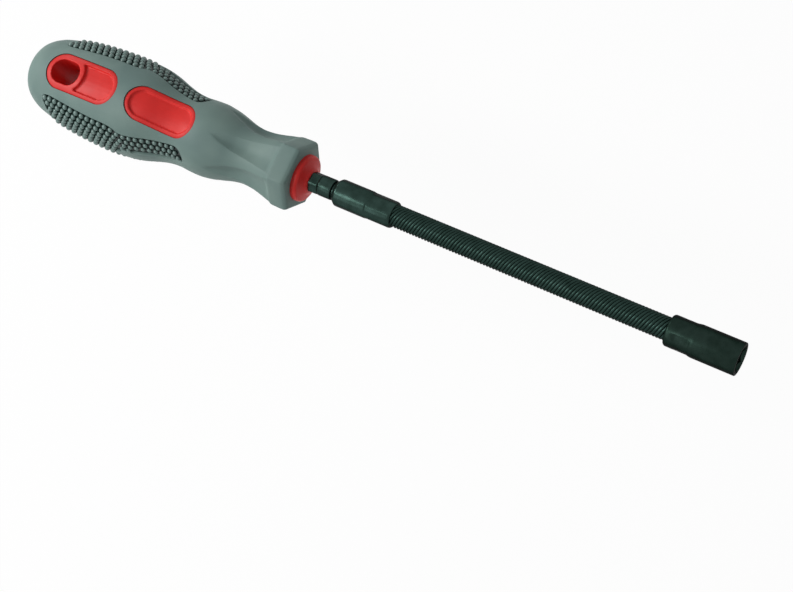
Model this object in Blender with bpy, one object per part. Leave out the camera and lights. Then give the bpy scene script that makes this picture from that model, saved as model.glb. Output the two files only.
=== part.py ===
"""Flexible hose clamp driver: a soft grip over a hard core, a swaged steel shank,
a wire-wound flexible shaft and a hex socket.

The tool axis lies along X, the socket points to +X and the grip windows face +Z and -Z.
Stations are millimetres along the axis from the front face of the grip's flange.
"""

import math

import bpy
import numpy as np

MM = 0.001

# Driving dimensions, in millimetres
GRIP_LENGTH = 109.5
GRIP_RADIUS = 16.5
GRIP_WALL = 2.6
FLANGE_LENGTH = 6.4
FLANGE_RADIUS = 12.3
CLEARANCE = 0.3
HEX_SHANK_AF = 6.35
SOCKET_HEX_AF = 7.0
SOCKET_HEX_PLAY = 0.1
SHAFT_LENGTH = 95.1
SHAFT_RADIUS = 3.74
SEGMENTS = 13
BEND_PER_JOINT = 16.7
CORE_RADIUS = 2.5
WIRE_COUNT = 9
WIRE_LEAD = 10.0
WIRE_VALLEY = 0.4
WIRE_RINGS = 8

# Grip outline: share of the grip's length, share of its largest radius
GRIP_SHAPE = (
    (1.0, 0.0),
    (0.9954, 0.2545),
    (0.9808, 0.4667),
    (0.9589, 0.6364),
    (0.9242, 0.7636),
    (0.8858, 0.8364),
    (0.8311, 0.9091),
    (0.7671, 0.9606),
    (0.6941, 0.9909),
    (0.621, 1.0),
    (0.5662, 0.9848),
    (0.5205, 0.9303),
    (0.4749, 0.8394),
    (0.4338, 0.7727),
    (0.3927, 0.7485),
    (0.3562, 0.7636),
    (0.3196, 0.7697),
    (0.2831, 0.7394),
    (0.2466, 0.6788),
    (0.21, 0.6121),
    (0.1735, 0.5788),
    (0.137, 0.5939),
    (0.105, 0.6364),
)
BODY_KNOTS = slice(3, 18)

# Flange outline: share of the flange's length, share of its corner radius
FLANGE_SHAPE = (
    (1.3125, 0.9187),
    (1.0938, 0.9553),
    (1.0, 0.9878),
    (0.1562, 1.0),
    (0.0469, 0.9756),
    (0.0, 0.935),
)

# Flats of the waist: share of the grip's length, share of the flange's corner radius
FACETS = 6
FACET_SHAPE = (
    (0.2785, 0.0244),
    (0.2466, 0.122),
    (0.21, 0.2033),
    (0.1607, 0.252),
    (0.1187, 0.3089),
    (0.0849, 0.3577),
)
FACET_AT_FLANGE = 0.3984
ROUND_EDGE_ANGLE = 20.0
EDGE_BLEND = 9.0

# Core: the hard inner handle
CORE_REAR_GAP = 3.0
CORE_SHOULDER = 7.6
CORE_TAPER = 0.2922
CORE_WAIST = 6.1
CORE_WAIST_START = 0.21
CORE_WAIST_END = 0.1279
COLLAR_RADIUS = 7.9
COLLAR_PROUD = 1.6
COLLAR_CHAMFER = 0.7
COLLAR_DOME = 1.1
PAD_SINK = 0.45

# Windows through the grip, on both broad sides
BRIDGE_PLACE = 0.5954
BRIDGE_LENGTH = 4.0
REAR_WINDOW_LENGTH = 29.7
REAR_WINDOW_WIDTH = 12.9
FRONT_WINDOW_LENGTH = 25.5
FRONT_WINDOW_WIDTH = 12.1
HOLE_BORDER = 2.1
HANG_HOLE_LENGTH = 11.7
HANG_HOLE_WIDTH = 8.2
HOLE_WALL = 2.0
POCKET_BORDER = 1.6
POCKET_WIDTH = 9.1
POCKET_DEPTH = 1.6
DISH_BORDER = 1.7
DISH_DEPTH = 0.9
CUTTER_REACH = 30.0

# Studded side bands: half of the forked outline, as share of the grip's length and angle from Y
BAND_SHAPE = (
    (0.8584, 0.0),
    (0.8612, 15.0),
    (0.8676, 30.0),
    (0.8758, 39.0),
    (0.8767, 44.0),
    (0.8712, 48.5),
    (0.8566, 51.0),
    (0.8311, 52.0),
    (0.7854, 51.5),
    (0.7306, 50.2),
    (0.6758, 49.2),
    (0.6301, 49.0),
    (0.5982, 47.6),
    (0.5708, 43.4),
    (0.5388, 43.2),
    (0.484, 45.5),
    (0.4292, 47.0),
    (0.3927, 48.5),
    (0.3772, 46.5),
    (0.3671, 42.0),
    (0.3607, 35.0),
    (0.358, 28.0),
    (0.3635, 21.0),
    (0.379, 16.0),
    (0.411, 14.0),
    (0.4658, 14.0),
    (0.5205, 14.0),
    (0.5571, 12.6),
    (0.5845, 9.5),
    (0.6027, 5.0),
    (0.6082, 0.0),
)
BAND_SINK = 0.5
BAND_DEPTH = 1.5
BAND_BASE = 2.0
MITRE_LIMIT = 0.5
DOME_PITCH = 2.35
DOME_HEIGHT = 1.1

# Shank, ferrule and socket
SHANK_IN_HANDLE = 59.0
SHANK_HEX_LENGTH = 5.7
SHANK_NECK = 3.2
SHANK_NECK_LENGTH = 5.1
SHANK_GROOVE = 2.7
SHANK_GROOVE_LENGTH = 1.6
SHANK_IN_FERRULE = 10.3
FERRULE_LENGTH = 21.9
FERRULE_CRIMP_LENGTH = 9.3
FERRULE_RADIUS = 4.6
FERRULE_CRIMP_RADIUS = 4.42
SOCKET_LENGTH = 23.2
SOCKET_CRIMP_LENGTH = 8.2
SOCKET_REAR_RADIUS = 5.05
SOCKET_RADIUS = 5.34
SOCKET_HEX_DEPTH = 11.0
CORE_IN_SOCKET = 6.0
RIM = 0.6
STEP = 0.5
ROUND_SIDES = 24
CORE_SIDES = 24
LINK_SIDES = 8


def along_grip(share):
    """Station that lies a share of the grip's length behind the flange's face."""
    return -share * GRIP_LENGTH


# Stations and sizes that follow from them
BUTT = -GRIP_LENGTH
GRIP_BODY = [(along_grip(share), radius * GRIP_RADIUS) for share, radius in GRIP_SHAPE]
FLANGE = [(-share * FLANGE_LENGTH, radius * FLANGE_RADIUS) for share, radius in FLANGE_SHAPE]
GRIP_OUTLINE = GRIP_BODY + FLANGE
BODY_STATIONS = [station for station, _ in GRIP_BODY[BODY_KNOTS]]
FACET_HALF_WIDTHS = [(along_grip(share), width * FLANGE_RADIUS) for share, width in FACET_SHAPE]
FACET_HALF_WIDTHS += [(-FLANGE_LENGTH - RIM, FACET_AT_FLANGE * FLANGE_RADIUS)]
FACET_HALF_WIDTHS += [(station, FLANGE_RADIUS / 2) for station in (-FLANGE_LENGTH, 0.0)]
FACET_APEX = FACET_HALF_WIDTHS[0][0]
BAND_HALF = [(along_grip(share), angle) for share, angle in BAND_SHAPE]
BRIDGE_STATION = along_grip(BRIDGE_PLACE)
REAR_WINDOW = BRIDGE_STATION - BRIDGE_LENGTH / 2 - REAR_WINDOW_LENGTH / 2
FRONT_WINDOW = BRIDGE_STATION + BRIDGE_LENGTH / 2 + FRONT_WINDOW_LENGTH / 2
HANG_HOLE = REAR_WINDOW - REAR_WINDOW_LENGTH / 2 + HOLE_BORDER + HANG_HOLE_LENGTH / 2
POCKET_START = HANG_HOLE + HANG_HOLE_LENGTH / 2 + HOLE_WALL
POCKET_END = REAR_WINDOW + REAR_WINDOW_LENGTH / 2 - POCKET_BORDER
SHANK_REAR = -SHANK_IN_HANDLE
SHANK_HEX_END = COLLAR_PROUD + SHANK_HEX_LENGTH
SHANK_NECK_END = SHANK_HEX_END + SHANK_NECK_LENGTH - 2 * STEP
FERRULE_REAR = SHANK_NECK_END + SHANK_GROOVE_LENGTH
SHANK_END = FERRULE_REAR + SHANK_IN_FERRULE
SHAFT_START = FERRULE_REAR + FERRULE_LENGTH
FERRULE_STEP = SHAFT_START - FERRULE_CRIMP_LENGTH
SHAFT_END = SHAFT_START + SHAFT_LENGTH
SOCKET_STEP = SHAFT_END + SOCKET_CRIMP_LENGTH
SOCKET_MOUTH = SHAFT_END + SOCKET_LENGTH
JOINT_GAP = 2 * SHAFT_RADIUS * math.tan(math.radians(BEND_PER_JOINT / 2)) + CLEARANCE / 3
LINK_GAP = 2 * CORE_RADIUS * math.tan(math.radians(BEND_PER_JOINT / 2)) + CLEARANCE / 3
MIDDLE = (BUTT + SOCKET_MOUTH) / 2

FINISHES = {
    "grip_rubber": ((0.155, 0.235, 0.215), 0.62, 0.0),
    "band_rubber": ((0.060, 0.105, 0.092), 0.55, 0.0),
    "core_plastic": ((0.620, 0.045, 0.035), 0.38, 0.0),
    "black_steel": ((0.020, 0.034, 0.032), 0.34, 0.9),
    "wire_steel": ((0.030, 0.048, 0.045), 0.30, 0.9),
}


def clear_scene():
    """Removes every object of the scene."""
    for obj in list(bpy.data.objects):
        bpy.data.objects.remove(obj, do_unlink=True)


def finish(name):
    """The material called name, made once."""
    found = bpy.data.materials.get(name)
    if found:
        return found
    colour, roughness, metallic = FINISHES[name]
    material = bpy.data.materials.new(name)
    material.use_nodes = True
    shader = material.node_tree.nodes["Principled BSDF"]
    shader.inputs["Base Color"].default_value = (*colour, 1.0)
    shader.inputs["Roughness"].default_value = roughness
    shader.inputs["Metallic"].default_value = metallic
    return material


def polar(station, radius, angle):
    """A point in metres: angle is in degrees from +Y towards +Z."""
    turn = math.radians(angle)
    return (
        (station - MIDDLE) * MM,
        radius * math.cos(turn) * MM,
        radius * math.sin(turn) * MM,
    )


def mesh_object(name, points, faces, material, sharp=35.0):
    """A mesh object with smooth shading and edges sharper than the angle kept."""
    mesh = bpy.data.meshes.new(name)
    mesh.from_pydata(points, [], faces)
    mesh.shade_smooth()
    mesh.set_sharp_from_angle(angle=math.radians(sharp))
    obj = bpy.data.objects.new(name, mesh)
    bpy.context.scene.collection.objects.link(obj)
    if material:
        mesh.materials.append(finish(material))
    return obj


def skin(name, rings, material=None, sharp=35.0):
    """A closed solid through rings of equal length, listed from rear to front."""
    count = len(rings[0])
    points = [point for ring in rings for point in ring]
    faces = [tuple(range(count - 1, -1, -1))]
    for row in range(len(rings) - 1):
        low = row * count
        for i in range(count):
            j = (i + 1) % count
            faces.append((low + i, low + j, low + count + j, low + count + i))
    top = (len(rings) - 1) * count
    faces.append(tuple(range(top, top + count)))
    return mesh_object(name, points, faces, material, sharp)


def turned(name, profile, sides, material=None):
    """A turned solid: profile lists station and radius from rear to front."""
    angles = [360.0 * i / sides for i in range(sides)]
    rings = [[polar(x, r, a) for a in angles] for x, r in profile]
    return skin(name, rings, material)


def hexagon(name, start, end, across_flats, material=None):
    """A hexagonal bar along the axis, with two corners on the Z axis."""
    corner = across_flats / 2 / math.cos(math.radians(30))
    angles = [30.0 + 60.0 * i for i in range(6)]
    rings = [[polar(x, corner, a) for a in angles] for x in (start, end)]
    return skin(name, rings, material)


def prism(name, outline, axis, low, high):
    """A closed bar over an outline of station and height, from low to high along Y or Z."""
    rings = []
    for depth in (low, high):
        if axis == "Z":
            ring = [((x - MIDDLE) * MM, v * MM, depth * MM) for x, v in outline]
        else:
            ring = [((x - MIDDLE) * MM, depth * MM, v * MM) for x, v in outline]
        rings.append(ring)
    obj = skin(name, rings)
    make_outward(obj)
    return obj


def make_outward(obj):
    """Turns the faces over where the mesh encloses a negative volume."""
    mesh = obj.data
    mesh.calc_loop_triangles()
    volume = 0.0
    for triangle in mesh.loop_triangles:
        a, b, c = (mesh.vertices[i].co for i in triangle.vertices)
        volume += a.dot(b.cross(c))
    if volume < 0:
        mesh.flip_normals()


def as_cutter(obj):
    """Keeps a helper solid out of the render."""
    obj.hide_render = True
    obj.display_type = "WIRE"
    return obj


def combine(obj, other, operation):
    """Adds an exact Boolean of obj with the helper solid other."""
    as_cutter(other)
    modifier = obj.modifiers.new(other.name, "BOOLEAN")
    modifier.operation = operation
    modifier.solver = "EXACT"
    modifier.object = other


# Shape of the grip
def smooth_curve(knots, steps):
    """Points of a Catmull-Rom curve through the knots, steps to each span."""
    ends = [knots[0]] + list(knots) + [knots[-1]]
    found = []
    for before, a, b, after in zip(ends, ends[1:], ends[2:], ends[3:]):
        for k in range(steps):
            t = k / steps
            found.append(tuple(
                0.5 * (2 * q + (r - p) * t + (2 * p - 5 * q + 4 * r - s) * t**2
                       + (3 * q - p - 3 * r + s) * t**3)
                for p, q, r, s in zip(before, a, b, after)
            ))
    found.append(tuple(knots[-1]))
    return found


CURVE = smooth_curve(GRIP_OUTLINE, 8)
CURVE_STATIONS = [x for x, _ in CURVE]
CURVE_RADII = [r for _, r in CURVE]


def corner_radius(station):
    """Radius of the grip's outline at a station."""
    return float(np.interp(station, CURVE_STATIONS, CURVE_RADII))


def facet_half_width(station):
    """Half-width of each flat at a station: none behind the flats' pointed ends."""
    if station < FACET_APEX:
        return 0.0
    stations = [x for x, _ in FACET_HALF_WIDTHS]
    widths = [w for _, w in FACET_HALF_WIDTHS]
    return float(np.interp(station, stations, widths))


def grip_radius(station, angle):
    """Radius of the grip's skin: round at the rear, six flats towards the front."""
    radius = corner_radius(station)
    span = 360.0 / FACETS
    off_centre = (angle % span) - span / 2
    half_width = min(facet_half_width(station), radius / 2)
    apothem = math.sqrt(radius**2 - half_width**2)
    return min(radius, apothem / math.cos(math.radians(off_centre)))


def edge_angle(station):
    """Angle from a flat's middle to its edge, opening out behind the flats."""
    if station < FACET_APEX:
        share = min((FACET_APEX - station) / EDGE_BLEND, 1.0)
        return 2.0 + (ROUND_EDGE_ANGLE - 2.0) * share
    radius = corner_radius(station)
    share = min(facet_half_width(station) / radius, 0.46)
    return max(math.degrees(math.asin(share)), 2.0)


def grip_angles(station):
    """Angles of one ring of the grip: a corner and five points over each flat."""
    edge = edge_angle(station)
    span = 360.0 / FACETS
    offsets = (-span / 2, -edge, -edge / 2, 0.0, edge / 2, edge)
    return [span * k + span / 2 + offset for k in range(FACETS) for offset in offsets]


def grip_skin(name, stations, inset, material=None):
    """A solid inside the grip's skin by a radial inset."""
    rings = [
        [polar(x, max(grip_radius(x, a) - inset, 0.4), a) for a in grip_angles(x)]
        for x in stations
    ]
    return skin(name, rings, material, sharp=28.0)


def core_profile(extra):
    """Profile of the hard core, grown by extra: a copy of the grip less its wall."""
    rear = BUTT + CORE_REAR_GAP - extra
    inset = GRIP_WALL + CLEARANCE - extra
    profile = [(rear, CORE_WAIST / 2 + extra), (rear + 2 * RIM, CORE_WAIST + extra)]
    for station, radius in GRIP_OUTLINE[4:15]:
        profile.append((station, radius - inset))
    profile.append((along_grip(CORE_TAPER), CORE_SHOULDER + extra))
    profile.append((along_grip(CORE_WAIST_START), CORE_WAIST + extra))
    profile.append((along_grip(CORE_WAIST_END), CORE_WAIST + extra))
    profile.append((-FLANGE_LENGTH - RIM, COLLAR_RADIUS + extra))
    return profile


def stadium(centre, length, width, steps=5):
    """Outline of a slot with round ends, as station and half-width points."""
    radius = width / 2
    reach = length / 2 - radius
    outline = []
    for side in (1, -1):
        for k in range(steps + 1):
            turn = math.radians(-90 + 180.0 * k / steps)
            outline.append((
                centre + side * (reach + radius * math.cos(turn)),
                side * radius * math.sin(turn),
            ))
    return outline


def window_outlines(shrink):
    """Outlines of the rear and front windows, each smaller by shrink on every side."""
    windows = (
        (REAR_WINDOW, REAR_WINDOW_LENGTH, REAR_WINDOW_WIDTH),
        (FRONT_WINDOW, FRONT_WINDOW_LENGTH, FRONT_WINDOW_WIDTH),
    )
    return [
        stadium(centre, length - 2 * shrink, width - 2 * shrink)
        for centre, length, width in windows
    ]


def make_core():
    """Hard core: inner handle, window pads, hang hole, pockets and domed front collar."""
    profile = core_profile(0.0)
    profile.append((COLLAR_PROUD - COLLAR_CHAMFER, COLLAR_RADIUS))
    profile.append((COLLAR_PROUD, COLLAR_RADIUS - COLLAR_CHAMFER))
    profile.append((COLLAR_PROUD + COLLAR_DOME, HEX_SHANK_AF * 0.7))
    core = turned("handle_core", profile, CORE_SIDES, "core_plastic")
    for index, outline in enumerate(window_outlines(CLEARANCE)):
        pad = prism(f"pad_{index}", outline, "Z", -CUTTER_REACH, CUTTER_REACH)
        combine(pad, grip_skin(f"pad_skin_{index}", BODY_STATIONS, PAD_SINK), "INTERSECT")
        combine(core, pad, "UNION")
    hole = stadium(HANG_HOLE, HANG_HOLE_LENGTH, HANG_HOLE_WIDTH)
    combine(core, prism("hang_hole", hole, "Z", -CUTTER_REACH, CUTTER_REACH), "DIFFERENCE")
    for side, label in ((1, "top"), (-1, "bottom")):
        combine(core, sunk_cutter(f"pocket_{label}", pocket_outline(), side, POCKET_DEPTH),
                "DIFFERENCE")
        combine(core, sunk_cutter(f"dish_{label}", dish_outline(), side, DISH_DEPTH),
                "DIFFERENCE")
    bore = hexagon("shank_bore", SHANK_REAR - CLEARANCE, CUTTER_REACH,
                   HEX_SHANK_AF + 2 * CLEARANCE)
    combine(core, bore, "DIFFERENCE")
    return core


def pocket_outline():
    """Outline of the pocket beside the hang hole."""
    middle = (POCKET_START + POCKET_END) / 2
    return stadium(middle, POCKET_END - POCKET_START, POCKET_WIDTH)


def dish_outline():
    """Outline of the shallow dish in the front window."""
    border = CLEARANCE + DISH_BORDER
    return stadium(FRONT_WINDOW, FRONT_WINDOW_LENGTH - 2 * border, FRONT_WINDOW_WIDTH - 2 * border)


def sunk_cutter(name, outline, side, depth):
    """Space over an outline whose floor lies a depth below the window pad."""
    low, high = sorted((side * CORE_WAIST / 2, side * CUTTER_REACH))
    cutter = prism(name, outline, "Z", low, high)
    floor = grip_skin(f"{name}_floor", BODY_STATIONS, PAD_SINK + depth)
    combine(cutter, floor, "DIFFERENCE")
    return cutter


def make_grip():
    """Soft grip: outer skin less the core's space, the windows and the band recesses."""
    stations = [CURVE[1][0], CURVE[4][0]] + [x for x, _ in GRIP_OUTLINE[1:]]
    grip = grip_skin("handle_grip", stations, 0.0, "grip_rubber")
    profile = core_profile(CLEARANCE)
    profile.append((COLLAR_PROUD + STEP, COLLAR_RADIUS + CLEARANCE))
    combine(grip, turned("core_space", profile, CORE_SIDES), "DIFFERENCE")
    for index, outline in enumerate(window_outlines(0.0)):
        window = prism(f"window_{index}", outline, "Z", -CUTTER_REACH, CUTTER_REACH)
        combine(grip, window, "DIFFERENCE")
    for side, label in ((1, "left"), (-1, "right")):
        combine(grip, band_recess(side, label), "DIFFERENCE")
    return grip


# Side bands
def band_outline():
    """Forked outline of a side band as station and height, from the rear round to the fork."""
    half = [(x, height_at(x, angle)) for x, angle in smooth_curve(BAND_HALF, 2)]
    mirrored = [(x, -z) for x, z in half[-2:0:-1]]
    return half + mirrored


def height_at(station, angle):
    """Height of the skin at an angle from Y."""
    return corner_radius(station) * math.sin(math.radians(angle))


def inset_outline(outline, distance):
    """The closed outline moved inwards by a distance at every corner."""
    spots = np.array(outline)
    ahead = np.roll(spots, -1, axis=0) - spots
    area = (spots[:, 0] * np.roll(spots[:, 1], -1) - spots[:, 1] * np.roll(spots[:, 0], -1)).sum()
    normals = np.stack([-ahead[:, 1], ahead[:, 0]], axis=1) * math.copysign(1.0, area)
    normals /= np.linalg.norm(normals, axis=1, keepdims=True)
    mitre = normals + np.roll(normals, 1, axis=0)
    mitre /= np.linalg.norm(mitre, axis=1, keepdims=True)
    stretch = np.maximum((mitre * normals).sum(axis=1, keepdims=True), MITRE_LIMIT)
    return [tuple(spot) for spot in spots + mitre * distance / stretch]


def band_recess(side, label):
    """Space for a side band: its outline, kept outside the recess floor."""
    low, high = sorted((side * BAND_BASE * 2, side * CUTTER_REACH))
    recess = prism(f"recess_{label}", band_outline(), "Y", low, high)
    combine(recess, band_floor(f"recess_floor_{label}", CLEARANCE), "DIFFERENCE")
    return recess


def band_floor(name, extra):
    """Solid inside a side band: the grip's skin sunk by the band's depth and extra."""
    return grip_skin(name, BODY_STATIONS, BAND_DEPTH + extra)


def studded_block(name, side, material):
    """Block beside the grip whose outer face is curved and covered with staggered domes."""
    column = DOME_PITCH / 2
    rear = min(x for x, _ in BAND_HALF) - DOME_PITCH
    front = max(x for x, _ in BAND_HALF) + DOME_PITCH
    columns = int((front - rear) / column)
    mean_radius = corner_radius(REAR_WINDOW)
    row_angle = math.degrees(DOME_PITCH * math.cos(math.radians(30)) / 2 / mean_radius)
    rows = 2 * (int(max(angle for _, angle in BAND_HALF) / row_angle) + 2)
    centre = 0.0 if side > 0 else 180.0
    points = []
    for j in range(rows + 1):
        angle = centre + (j - rows / 2) * row_angle
        for i in range(columns + 1):
            x = rear + i * column + (j % 2) * column / 2
            peak = j % 2 == 0 and i % 2 == (j // 2) % 2
            height = DOME_HEIGHT if peak else 0.0
            points.append(polar(x, corner_radius(x) - BAND_SINK + height, angle))
    rim = sheet_rim(rows, columns)
    base = len(points)
    points += [(points[v][0], side * BAND_BASE * MM, points[v][2]) for v in rim]
    faces = sheet_faces(rows, columns)
    for k, (a, b) in enumerate(zip(rim, rim[1:] + rim[:1])):
        faces.append((b, a, base + k, base + (k + 1) % len(rim)))
    faces.append(tuple(base + k for k in reversed(range(len(rim)))))
    return mesh_object(name, points, faces, material, 20.0)


def sheet_faces(rows, columns):
    """Triangles of a sheet whose odd rows are set half a step on."""
    faces = []
    for j in range(rows):
        for i in range(columns):
            a = j * (columns + 1) + i
            b, c, d = a + 1, a + columns + 1, a + columns + 2
            if j % 2 == 0:
                faces += [(a, b, c), (b, d, c)]
            else:
                faces += [(a, b, d), (a, d, c)]
    return faces


def sheet_rim(rows, columns):
    """Indices round the edge of the sheet, in order."""
    width = columns + 1
    last = rows * width
    rim = list(range(width))
    rim += [j * width + columns for j in range(1, rows + 1)]
    rim += list(range(last + columns - 1, last - 1, -1))
    rim += [j * width for j in range(rows - 1, 0, -1)]
    return rim


def make_band(side, label):
    """Side band: the studded block cut to the forked outline and to the band's depth."""
    band = studded_block(f"grip_band_{label}", side, "band_rubber")
    make_outward(band)
    low, high = sorted((side * BAND_BASE * 2, side * CUTTER_REACH))
    border = inset_outline(band_outline(), CLEARANCE)
    outline = prism(f"band_outline_{label}", border, "Y", low, high)
    combine(outline, band_floor(f"band_floor_{label}", 0.0), "DIFFERENCE")
    combine(band, outline, "INTERSECT")
    return band


# Steel pieces
def make_shank():
    """Shank: hex bar in the core, then a round neck, a groove and the swaged end."""
    corner = HEX_SHANK_AF / 2 / math.cos(math.radians(30))
    angles = [30.0 + 60.0 * i / 4 for i in range(24)]
    rings = []
    for x in (SHANK_REAR, SHANK_HEX_END - STEP):
        rings.append([polar(x, hexagon_radius(corner, a), a) for a in angles])
    for x, r in ((SHANK_HEX_END, SHANK_NECK), (SHANK_NECK_END, SHANK_NECK),
                 (SHANK_NECK_END + STEP, SHANK_GROOVE), (FERRULE_REAR, SHANK_GROOVE),
                 (FERRULE_REAR + RIM, SHANK_NECK), (SHANK_END, SHANK_NECK)):
        rings.append([polar(x, r, a) for a in angles])
    return skin("drive_shank", rings, "black_steel")


def hexagon_radius(corner, angle):
    """Radius of a hexagon whose corners lie at 30 degrees and every 60 on."""
    off_centre = (angle - 30.0) % 60.0 - 30.0
    return corner * math.cos(math.radians(30)) / math.cos(math.radians(off_centre))


def make_ferrule():
    """Ferrule swaged over the shank's end, with a bore for the drive core."""
    profile = (
        (FERRULE_REAR, FERRULE_RADIUS - 1.5 * RIM),
        (FERRULE_REAR + 2 * RIM, FERRULE_RADIUS),
        (FERRULE_STEP - STEP, FERRULE_RADIUS),
        (FERRULE_STEP, FERRULE_CRIMP_RADIUS),
        (SHAFT_START - RIM, FERRULE_CRIMP_RADIUS),
        (SHAFT_START, FERRULE_CRIMP_RADIUS - RIM / 2),
    )
    ferrule = turned("rear_ferrule", profile, ROUND_SIDES, "black_steel")
    shank_bore = (
        (FERRULE_REAR - RIM, SHANK_NECK + CLEARANCE),
        (SHANK_END + CLEARANCE, SHANK_NECK + CLEARANCE),
    )
    core_bore = (
        (SHANK_END - RIM, CORE_RADIUS + CLEARANCE),
        (SHAFT_START + RIM, CORE_RADIUS + CLEARANCE),
    )
    combine(ferrule, turned("ferrule_shank_bore", shank_bore, ROUND_SIDES), "DIFFERENCE")
    combine(ferrule, turned("ferrule_core_bore", core_bore, ROUND_SIDES), "DIFFERENCE")
    return ferrule


def make_socket():
    """Hex socket: crimped rear, round nose, hex recess and a bore for the drive core."""
    profile = (
        (SHAFT_END, SOCKET_REAR_RADIUS - RIM),
        (SHAFT_END + RIM, SOCKET_REAR_RADIUS),
        (SOCKET_STEP - STEP, SOCKET_REAR_RADIUS),
        (SOCKET_STEP, SOCKET_RADIUS),
        (SOCKET_MOUTH - RIM, SOCKET_RADIUS),
        (SOCKET_MOUTH, SOCKET_RADIUS - RIM / 2),
    )
    socket = turned("hex_socket", profile, ROUND_SIDES, "black_steel")
    recess = hexagon("socket_hex", SOCKET_MOUTH - SOCKET_HEX_DEPTH, SOCKET_MOUTH + RIM,
                     SOCKET_HEX_AF + SOCKET_HEX_PLAY)
    combine(socket, recess, "DIFFERENCE")
    rear_bore = (
        (SHAFT_END - RIM, CORE_RADIUS + CLEARANCE),
        (SHAFT_END + CORE_IN_SOCKET + CLEARANCE, CORE_RADIUS + CLEARANCE),
    )
    combine(socket, turned("socket_core_bore", rear_bore, ROUND_SIDES), "DIFFERENCE")
    return socket


# Flexible shaft
def joint_station(index):
    """Station of the boundary before segment index."""
    return SHAFT_START + SHAFT_LENGTH * index / SEGMENTS


def make_wires(index):
    """One stretch of the outer wires: strands laid side by side, fused to a sleeve."""
    start = joint_station(index) + (JOINT_GAP / 2 if index else CLEARANCE)
    last = index == SEGMENTS - 1
    end = joint_station(index + 1) - (CLEARANCE if last else JOINT_GAP / 2)
    stations = [start + (end - start) * k / (WIRE_RINGS - 1) for k in range(WIRE_RINGS)]
    outer = [wire_ring(x, SHAFT_RADIUS, SHAFT_RADIUS - WIRE_VALLEY) for x in stations]
    bore = CORE_RADIUS + CLEARANCE
    inner = [wire_ring(x, bore, bore) for x in (end, start)]
    shift = round(-2 * WIRE_COUNT * (end - start) / WIRE_LEAD)
    return sleeve(f"outer_wires_{index:02d}", outer, inner, shift)


def wire_ring(station, crest, valley):
    """Ring of crests and valleys, turned by the left-hand lay of the wires."""
    twist = -360.0 * (station - SHAFT_START) / WIRE_LEAD
    count = 2 * WIRE_COUNT
    return [
        polar(station, valley if i % 2 else crest, twist + 360.0 * i / count)
        for i in range(count)
    ]


def sleeve(name, outer, inner, shift):
    """A closed sleeve. The bore's wall joins points that lie shift places apart."""
    rings = outer + inner
    count = len(rings[0])
    points = [point for ring in rings for point in ring]
    faces = []
    for row in range(len(rings)):
        low = row * count
        ahead = (row + 1) % len(rings) * count
        move = shift if row == len(outer) else 0
        for i in range(count):
            j = (i + 1) % count
            faces.append((low + i, low + j, ahead + (j + move) % count,
                          ahead + (i + move) % count))
    return mesh_object(name, points, faces, "wire_steel", sharp=60.0)


def make_link(index):
    """One stretch of the inner drive core."""
    start = joint_station(index) + LINK_GAP / 2
    end = joint_station(index + 1) - LINK_GAP / 2
    if index == 0:
        start = SHANK_END + 2 * CLEARANCE
    if index == SEGMENTS - 1:
        end = SHAFT_END + CORE_IN_SOCKET
    profile = ((start, CORE_RADIUS), (end, CORE_RADIUS))
    return turned(f"core_link_{index:02d}", profile, LINK_SIDES, "wire_steel")


def main():
    clear_scene()
    make_core()
    make_grip()
    make_band(1, "left")
    make_band(-1, "right")
    make_shank()
    make_ferrule()
    for index in range(SEGMENTS):
        make_wires(index)
        make_link(index)
    make_socket()


if __name__ == "__main__":
    main()
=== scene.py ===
"""Looks of a flexible hose clamp driver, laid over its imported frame.

The tool axis lies along X, the socket points to +X and the grip's windows face +Z and -Z.
Stations are millimetres along the axis from the front face of the grip's flange. Sizes are
millimetres too, except where a docstring says metres, and angles are degrees.
"""

import logging
import math
from dataclasses import dataclass
from enum import Enum
from typing import Callable, Iterable, Sequence

import bpy
import numpy as np
from mathutils import Matrix, Vector


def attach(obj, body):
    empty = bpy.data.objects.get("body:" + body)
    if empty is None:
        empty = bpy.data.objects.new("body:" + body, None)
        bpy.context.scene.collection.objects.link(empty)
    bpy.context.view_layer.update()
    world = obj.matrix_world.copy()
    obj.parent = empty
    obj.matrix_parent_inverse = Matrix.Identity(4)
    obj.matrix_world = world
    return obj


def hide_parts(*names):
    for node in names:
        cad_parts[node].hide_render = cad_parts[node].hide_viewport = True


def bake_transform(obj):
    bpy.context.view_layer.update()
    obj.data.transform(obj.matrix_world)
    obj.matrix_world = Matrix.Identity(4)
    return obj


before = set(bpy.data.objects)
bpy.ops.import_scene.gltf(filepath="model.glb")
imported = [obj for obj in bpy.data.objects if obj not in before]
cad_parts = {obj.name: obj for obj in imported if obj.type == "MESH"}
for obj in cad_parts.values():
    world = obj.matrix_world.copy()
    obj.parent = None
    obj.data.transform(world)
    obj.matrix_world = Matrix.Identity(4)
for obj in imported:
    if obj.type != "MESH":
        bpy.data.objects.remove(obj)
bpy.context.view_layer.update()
LOG = logging.getLogger("hose_clamp_driver")

MM = 0.001
MIDDLE = 21.85  # station of the world's origin
SHAFT_START = 34.9
SHAFT_END = 130.0
SEGMENTS = 13
SOCKET_MOUTH = 153.2
BAND_NEAR = 4.0  # a bar over a band reaches from here
BAND_FAR = 30.0  # to here along Y
BAND_SPAN = (-104.0, -29.0, 90)  # rear, front and rows of the solids that shape the bands

Profile = Sequence[tuple[float, float]]
Stops = tuple[tuple[float, str], ...]


class Side(Enum):
    """Long side of the grip that carries a studded band, by the sign of Y."""

    LEFT = 1
    RIGHT = -1

    def span(self) -> tuple[float, float]:
        """Lower and upper end along Y of a bar that takes in this side's band."""
        near, far = self.value * BAND_NEAR, self.value * BAND_FAR
        return min(near, far), max(near, far)


class Cut(Enum):
    """Ways in which one solid works on another."""

    AWAY = "DIFFERENCE"
    COMMON = "INTERSECT"


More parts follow.
